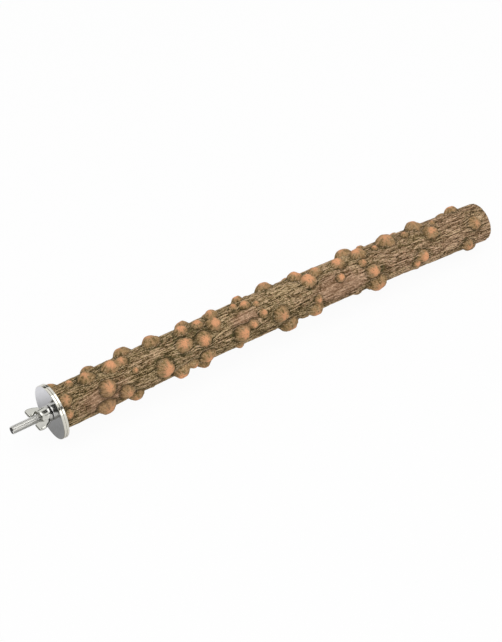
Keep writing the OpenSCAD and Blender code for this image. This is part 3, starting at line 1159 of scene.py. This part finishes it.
@dataclass
class WingNut:
    """The wing nut: one casting with two round wings, threaded for the bolt."""

    seat: float
    bolt: HangerBolt
    length: float = 8.5 * MM
    room: float = 0.22 * MM
    play: float = 0.15 * MM
    thread_in: float = 0.2 * MM
    thread_fade: float = 0.6 * MM
    tap_over: float = 0.5 * MM
    smoothing: int = 3
    corners: int = 12
    rows: tuple[int, int] = (4, 7)

    def rings(self) -> list[tuple[float, float]]:
        """Gives the casting's rings: how far from the washer, and how far from the bolt's line."""
        return [
            (0.0, 3.4 * MM), (0.0, 5.6 * MM), (0.35 * MM, 6.1 * MM), (1.4 * MM, 6.15 * MM),
            (3.2 * MM, 6.0 * MM), (5.0 * MM, 5.8 * MM), (6.6 * MM, 5.55 * MM), (8.1 * MM, 5.2 * MM),
            (self.length, 4.75 * MM), (self.length, 3.4 * MM),
        ]

    def wing_stations(self) -> list[tuple[float, float, float, float, float, float]]:
        """Gives each station up a wing.

        Returns:
            Each station's reach, height, lean, half width, half thickness, and the share of that thickness
            that its dished middle keeps.
        """
        return [
            (6.9 * MM, 5.6 * MM, 25.0, 2.6 * MM, 1.4 * MM, 1.0),
            (7.0 * MM, 7.6 * MM, 50.0, 3.1 * MM, 1.35 * MM, 0.95),
            (7.4 * MM, 9.7 * MM, 76.0, 3.85 * MM, 1.3 * MM, 0.8),
            (7.5 * MM, 12.0 * MM, 88.0, 4.0 * MM, 1.25 * MM, 0.78),
            (7.6 * MM, 14.2 * MM, 90.0, 3.1 * MM, 1.0 * MM, 0.95),
        ]

    def casting(self) -> Piece:
        """Builds the solid casting from a coarse cage that is then smoothed."""
        points, faces = [], []
        for out, radius in self.rings():
            for corner in range(self.corners):
                angle = TURN * (corner + 0.5) / self.corners
                points.append((out, radius * math.cos(angle), radius * math.sin(angle)))
        wing_sides = (self.corners - 1, self.corners // 2 - 1)
        for ring in range(len(self.rings()) - 1):
            for corner in range(self.corners):
                if corner in wing_sides and self.rows[0] <= ring < self.rows[1]:
                    continue
                one, two = ring * self.corners, (ring + 1) * self.corners
                near, far = corner, (corner + 1) % self.corners
                faces.append((one + near, one + far, two + far, two + near))
        faces.append(tuple(range(self.corners)))
        faces.append(tuple(range(len(points) - self.corners, len(points))))
        for side, first in zip((1, -1), wing_sides):
            self.add_wing(points, faces, side, first)
        rows = np.array(points)
        spots = np.stack([-(self.seat + rows[:, 0]), rows[:, 1], rows[:, 2]], axis=-1)
        return new_piece("winged_nut", spots, faces)

    def add_wing(self, points: list, faces: list, side: int, first: int) -> None:
        """Adds one wing to the cage.

        Args:
            points: The cage's points, which grow.
            faces: The cage's faces, which grow.
            side: 1 for the wing towards +Y and -1 for the other.
            first: The body's side that the wing springs from.
        """
        second = (first + 1) % self.corners
        span = range(self.rows[0], self.rows[1] + 1)
        loop = [row * self.corners + first for row in span]
        loop += [row * self.corners + second for row in reversed(span)]
        front, back = (-1, 1) if side > 0 else (1, -1)
        for reach, out, lean, half_w, half_t, middle in self.wing_stations():
            swing = math.radians(lean)
            start = len(points)
            shares = (-1, -1 / 3, 1 / 3, 1)
            for share, face in [(s, front) for s in shares] + [(s, back) for s in reversed(shares)]:
                along = reach - share * half_w * math.sin(swing)
                thick = half_t if abs(share) == 1 else half_t * middle
                points.append((out + share * half_w * math.cos(swing), side * along, face * thick))
            new = list(range(start, start + len(loop)))
            for k, here in enumerate(loop):
                ahead = (k + 1) % len(loop)
                faces.append((here, loop[ahead], new[ahead], new[k]))
            loop = new
        # The wing's tip is closed with a row of faces
        for k in range(len(loop) // 2 - 1):
            faces.append((loop[k], loop[k + 1], loop[-2 - k], loop[-1 - k]))

    def tap(self) -> Piece:
        """Builds what the tap takes out of the casting, with a countersink at each end."""
        over, root = self.tap_over, self.bolt.stud_r + self.room
        low, high = self.seat - over, self.seat + self.length + over
        start = walk([(low, 0), (low, root + over), (low + 2 * over, root)], over)
        stem = walk([start[-1], (high - 2 * over, root)], self.bolt.pitch / RINGS_A_TURN)[1:]
        end = walk([stem[-1], (high, root + over), (high, 0)], over)[1:]
        return loft("nut_tap", turned(np.concatenate([start, stem, end]), self.bolt.sides))

    def thread(self) -> Thread:
        """Gives the nut's thread, which leaves play and room round the bolt's."""
        bolt = self.bolt.machine_thread()
        return replace(
            bolt,
            half_crest=bolt.half_crest + self.play,
            low_r=bolt.low_r + self.room,
            high_r=bolt.high_r + self.room,
            begin=self.seat + self.thread_in,
            end=self.seat + self.length - self.thread_in,
            fade=self.thread_fade,
        )

    def build(self) -> None:
        """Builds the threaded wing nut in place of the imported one."""
        nut, tap = self.casting(), self.tap()
        finish = SteelFinish(
            "nut_casting", Marks.CAST, seen(209, 208, 200), seen(185, 184, 177), roughness=0.12
        ).mix()
        smooth = nut.modifiers.new("smooth", "SUBSURF")
        smooth.levels = smooth.render_levels = self.smoothing
        self.thread().cut(tap, finish)
        for piece in (nut, tap):
            settle(piece)
            tidy(piece, crease=math.pi, outward=True)
        nut.data.materials.append(finish)
        bore = nut.modifiers.new("bore", "BOOLEAN")
        bore.operation, bore.solver, bore.object = "DIFFERENCE", "EXACT", tap
        attach(nut, "wing_nut", "wing_nut")
        bpy.data.objects.remove(tap)


@dataclass(frozen=True)
class Lamp:
    """A soft square lamp that looks at the perch."""

    name: str
    azimuth: float
    elevation: float
    distance: float
    width: float
    power: float


@dataclass(frozen=True)
class Card:
    """A dark card round the studio, which only the metal shows."""

    name: str
    towards: tuple[float, float, float]
    distance: float
    width: float
    height: float
    shade: Colour


def flat_card(name: str, middle: Vector, side: Vector, rise: Vector, finish: bpy.types.Material) -> Piece:
    """Makes a flat card.

    Args:
        name: The card's name.
        middle: Its middle.
        side: The way from its middle to the middle of one edge.
        rise: The same for the next edge.
        finish: Its material.

    Returns:
        The card.
    """
    corners = [(-1, -1), (1, -1), (1, 1), (-1, 1)]
    points = np.array([middle + side * x + rise * y for x, y in corners])
    card = new_piece(name, points, [(0, 1, 2, 3)])
    card.data.materials.append(finish)
    return card


@dataclass
class Studio:
    """A plain pale floor, soft light, dark cards and the camera at the photograph's angle."""

    target: Vector
    metal: Vector
    floor_z: float
    azimuth: float = -34.6
    elevation: float = 42.9
    distance: float = 1.30
    lens_pixels: float = 1800.0
    frame_pixels: float = 642.0
    sensor: float = 36.0
    clip_start: float = 0.01
    floor_half: float = 4.0
    floor_colour: Colour = (0.9, 0.9, 0.9)
    floor_pale: Colour = (0.94, 0.94, 0.94)
    sky: float = 0.5
    sky_mirrored: float = 0.9
    floor_white: float = 0.95
    floor_mirrored: float = 0.1
    shadow_place: tuple[float, float] = (-10 * MM, -3 * MM)
    shadow_reach: float = 62 * MM
    shadow_over: float = 0.05 * MM
    shadow_ragged: float = 4 * MM
    shadow_branch: tuple[float, float] = (15 * MM, 8 * MM)
    shadow_share: float = 0.85
    shadow_shade: Colour = seen(136, 136, 132)

    @staticmethod
    def towards(azimuth: float, elevation: float) -> Vector:
        """Gives the direction to something seen at that azimuth and elevation, in degrees."""
        a, e = math.radians(azimuth), math.radians(elevation)
        return Vector((math.sin(a) * math.cos(e), -math.cos(a) * math.cos(e), math.sin(e)))

    def lamps(self) -> list[Lamp]:
        """Lists the studio's lamps."""
        return [
            Lamp("key", -75.0, 66.0, 1.3, 1.1, 5.0),
            Lamp("top", 80.0, 66.0, 1.4, 1.0, 3.5),
            Lamp("fill", 20.0, 35.0, 1.6, 0.9, 2.5),
        ]

    def cards(self) -> list[Card]:
        """Lists the dark cards: beside and over the nut, a strip over the camera, and the far wall's foot."""
        dark = seen(66, 66, 63)
        return [
            Card("left_card", (-1.0, -0.1, 0.75), 1.0, 3.0, 1.4, dark),
            Card("top_card", (0.1, 0.0, 0.995), 1.0, 0.9, 0.26, dark),
            Card("strip_card", (0.416, -0.602, 0.681), 1.0, 0.9, 0.2, seen(96, 96, 93)),
            Card("back_card", (0.42, 0.9, 0.22), 1.2, 1.6, 0.42, seen(80, 80, 78)),
        ]

    def lay_shadow(self) -> None:
        """Lays a dark patch with a soft edge on the floor under the metal, which only the metal shows."""
        reach = self.shadow_reach
        x, y = self.shadow_place
        paint = Paint("under_card")
        across, along, _ = paint.split(paint.vector("SUBTRACT", paint.spot(), (x, y, 0.0)))
        ragged = paint.noise(paint.spot(), (120.0, 120.0, 120.0), 1.0) * self.shadow_ragged
        share = (across.reach(along) + ragged).band(reach * 0.85, reach * 0.38)
        share = share * across.band(*self.shadow_branch) * self.shadow_share
        dark = paint.node("ShaderNodeEmission", {}, {"Color": self.shadow_shade})
        clear = paint.node("ShaderNodeBsdfTransparent", {}, {})
        finish = paint.end(paint.node("ShaderNodeMixShader", {}, {"Fac": share, 1: clear, 2: dark}))
        middle = Vector((x, y, self.floor_z + self.shadow_over))
        patch = flat_card("under_card", middle, Vector((reach, 0, 0)), Vector((0, reach, 0)), finish)
        self.show_in_metal_only(patch)

    @staticmethod
    def show_in_metal_only(card: Piece) -> None:
        """Hides a card from all but mirrored rays.

        Args:
            card: The card, which then counts as part of the stage.
        """
        card.visible_camera = card.visible_diffuse = card.visible_shadow = False
        card.visible_transmission = card.visible_volume_scatter = False
        card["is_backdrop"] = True

    def hang_cards(self) -> None:
        """Hangs the dark cards, which face the metal and are hidden from everything but mirrored rays."""
        for card in self.cards():
            back = Vector(card.towards).normalized()
            side = back.cross(Vector((0, 0, 1))).normalized()
            rise = side.cross(back)
            paint = Paint(card.name)
            cloth = paint.noise(paint.spot(), (7.0, 7.0, 7.0), 2.0)
            shade = paint.mix((0.0, 0.0, 0.0), card.shade, cloth * 2.0)
            finish = paint.end(paint.node("ShaderNodeEmission", {}, {"Color": shade}))
            middle = self.metal + back * card.distance
            panel = flat_card(card.name, middle, side * (card.width / 2), rise * (card.height / 2), finish)
            self.show_in_metal_only(panel)

    @staticmethod
    def shown_white(bench: Bench, plain: Wire, straight: float, mirrored: float) -> Wire:
        """Mixes a shader with plain white where the camera, metal or glass sees it.

        Args:
            bench: The material or world being made.
            plain: What lights everything else.
            straight: How much of the white the camera sees.
            mirrored: How much of the white metal and glass show.

        Returns:
            The mixed shader.
        """
        camera = bench.node("ShaderNodeLightPath", {}, {}, "Is Camera Ray")
        bent = camera.out("Is Glossy Ray") + camera.out("Is Transmission Ray")
        sees = (camera * straight + bent * mirrored).least(1.0)
        white = bench.node("ShaderNodeEmission", {}, {"Color": (1.0, 1.0, 1.0)})
        return bench.node("ShaderNodeMixShader", {}, {"Fac": sees, 1: plain, 2: white})

    def lay_floor(self) -> None:
        """Lays the floor just under the perch, with a finish that keeps the perch's shadow."""
        paint = Paint("floor_finish")
        cloud = paint.noise(paint.spot(), (3.0, 3.0, 3.0), 2.0)
        colour = paint.mix(self.floor_colour, self.floor_pale, cloud)
        matt = paint.node("ShaderNodeBsdfDiffuse", {}, {"Color": colour})
        above = self.shown_white(paint, matt, self.floor_white, self.floor_mirrored)
        beneath = paint.node("ShaderNodeNewGeometry", {}, {}, "Backfacing")
        clear = paint.node("ShaderNodeBsdfTransparent", {}, {})
        finish = paint.end(paint.node("ShaderNodeMixShader", {}, {"Fac": beneath, 1: above, 2: clear}))
        half = self.floor_half
        middle = Vector((0, 0, self.floor_z))
        floor = flat_card("floor", middle, Vector((half, 0, 0)), Vector((0, half, 0)), finish)
        floor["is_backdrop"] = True

    def hang_sky(self) -> None:
        """Sets the even light that comes from all round, shown as white behind the perch."""
        world = bpy.data.worlds.new("studio")
        world.use_nodes = True
        world.node_tree.nodes.clear()
        bench = Bench(world.node_tree)
        soft = bench.node("ShaderNodeBackground", {}, {"Color": (1.0, 1.0, 1.0), "Strength": self.sky})
        shown = self.shown_white(bench, soft, 1.0, self.sky_mirrored)
        bench.put("ShaderNodeOutputWorld", {}, {"Surface": shown})
        bpy.context.scene.world = world

    def aim(self, data: bpy.types.ID, azimuth: float, elevation: float, distance: float) -> Piece:
        """Places a lamp or a camera so that it looks at the perch.

        Args:
            data: The lamp or the camera.
            azimuth: Where it stands round the perch, in degrees.
            elevation: How high it stands, in degrees.
            distance: How far it is from the perch.

        Returns:
            The object that holds it.
        """
        holder = bpy.data.objects.new(data.name, data)
        bpy.context.scene.collection.objects.link(holder)
        back = self.towards(azimuth, elevation)
        holder.location = self.target + back * distance
        holder.rotation_euler = (-back).to_track_quat("-Z", "Y").to_euler()
        return holder

    def hang_lamps(self) -> None:
        """Hangs the lamps round the perch."""
        for lamp in self.lamps():
            light = bpy.data.lights.new(lamp.name, "AREA")
            light.shape = "SQUARE"
            light.size = lamp.width
            light.energy = lamp.power
            self.aim(light, lamp.azimuth, lamp.elevation, lamp.distance)

    def place_camera(self) -> None:
        """Places the camera where the photograph was taken from."""
        data = bpy.data.cameras.new("camera")
        data.sensor_width = self.sensor
        data.lens = self.lens_pixels * data.sensor_width / self.frame_pixels
        data.clip_start = self.clip_start
        bpy.context.scene.camera = self.aim(data, self.azimuth, self.elevation, self.distance)

    def set_up(self) -> None:
        """Sets the whole studio up, with plain view settings."""
        bpy.context.scene.view_settings.view_transform = "Standard"
        self.lay_floor()
        self.hang_sky()
        self.hang_lamps()
        self.hang_cards()
        self.lay_shadow()
        self.place_camera()


# Each knob on the top and the -Y side: share of the branch's length, degrees round it from the top
# towards -Y, and share of the full size
NEAR_KNOBS = [
    (0.010, 69, 0.60), (0.014, 30, 0.75), (0.006, -50, 0.78), (0.036, -11, 0.55),
    (0.070, -4, 0.95), (0.087, 104, 1.05), (0.098, 52, 1.00), (0.121, -2, 0.95),
    (0.132, 87, 0.85), (0.146, -1, 0.70), (0.160, 38, 0.40), (0.155, 126, 0.90),
    (0.163, -46, 1.05), (0.218, 71, 1.10), (0.220, -26, 1.05), (0.253, 113, 1.05),
    (0.270, 34, 0.95), (0.278, 101, 0.70), (0.281, -12, 0.80), (0.309, 98, 0.90),
    (0.315, -7, 0.65), (0.311, 42, 0.95), (0.343, 16, 0.90), (0.352, -20, 0.85),
    (0.384, 114, 0.60), (0.391, 74, 1.05), (0.399, -11, 0.50), (0.420, 1, 0.65),
    (0.418, 62, 0.60), (0.423, -45, 0.75), (0.441, 12, 0.40), (0.444, 45, 0.60),
    (0.481, 70, 0.95), (0.485, -48, 1.05), (0.501, 125, 1.20), (0.548, -24, 0.95),
    (0.563, 12, 1.00), (0.560, 105, 1.00), (0.567, 74, 0.60), (0.588, -7, 0.80),
    (0.629, 40, 0.60), (0.640, -4, 0.85), (0.674, -48, 1.10), (0.687, 26, 0.55),
    (0.693, -8, 0.90), (0.704, 61, 0.95), (0.711, 109, 1.20), (0.716, -48, 0.50), (0.732, -4, 0.45),
    (0.763, -14, 1.10), (0.808, -8, 0.50), (0.808, 94, 0.55), (0.823, 77, 0.90),
    (0.842, -30, 1.05), (0.859, 19, 0.90), (0.879, -10, 0.40), (0.938, 104, 0.85),
    (0.947, -46, 0.90), (0.962, 43, 0.85),
]
# The same for the underside and the +Y side
FAR_KNOBS = [
    (0.040, 176, 0.80), (0.060, 215, 1.00), (0.055, 272, 0.75), (0.110, 180, 1.05),
    (0.125, 240, 0.90), (0.093, 290, 0.90), (0.160, 205, 0.60), (0.200, 178, 1.00),
    (0.210, 230, 1.10), (0.225, 275, 0.70), (0.265, 190, 0.85), (0.280, 250, 1.00),
    (0.302, 287, 1.05), (0.312, 150, 1.10), (0.340, 220, 0.70), (0.360, 265, 1.10),
    (0.390, 185, 0.95), (0.405, 235, 0.90), (0.425, 174, 0.60), (0.450, 272, 0.90),
    (0.460, 205, 1.10), (0.500, 180, 0.70), (0.520, 245, 1.00), (0.545, 278, 0.85),
    (0.552, 172, 1.00), (0.580, 215, 0.90), (0.610, 260, 0.65), (0.625, 185, 1.10),
    (0.650, 235, 0.95), (0.680, 165, 0.80), (0.700, 205, 1.00), (0.725, 265, 0.90),
    (0.760, 180, 0.75), (0.785, 225, 1.10), (0.810, 280, 0.85), (0.830, 178, 1.00),
    (0.855, 205, 0.70), (0.880, 250, 1.00), (0.905, 180, 0.90), (0.930, 282, 0.80),
    (0.930, 225, 0.75), (0.962, 158, 0.90), (0.965, 265, 0.90),
]

# Each smoother patch of bark: share of the length, degrees round it, half its length as a share, and
# half its breadth in degrees
SMOOTH_PATCHES = [
    (0.085, 72, 0.05, 42), (0.405, 38, 0.035, 26), (0.625, 66, 0.06, 40), (0.36, 220, 0.08, 50),
]


def main() -> None:
    """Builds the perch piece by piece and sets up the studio."""
    logging.basicConfig(level=logging.INFO, format="%(message)s")
    bark_low, bark_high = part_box("bark")
    bolt_low, bolt_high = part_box("hanger_bolt")
    branch = Branch(bark_low.x, bark_high.x - bark_low.x, NEAR_KNOBS + FAR_KNOBS, SMOOTH_PATCHES)
    branch.build_bark()
    branch.build_wood()
    bolt = HangerBolt(tip=-bolt_low.x, point=-bolt_high.x, face=-bark_low.x)
    bolt.build()
    for node in ("inner_washer", "outer_washer"):
        low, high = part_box(node)
        Washer(node, low=-high.x, high=-low.x, radius=high.y).build()
    WingNut(seat=-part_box("outer_washer")[0].x, bolt=bolt).build()
    Studio(
        target=Vector((0.165, 0.0, -2.6 * MM)),
        metal=Vector((CAD_LOW.x / 2, 0.0, 0.0)),
        floor_z=CAD_LOW.z - 0.2 * MM,
    ).set_up()
    low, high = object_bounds()


if __name__ == "__main__":
    main()
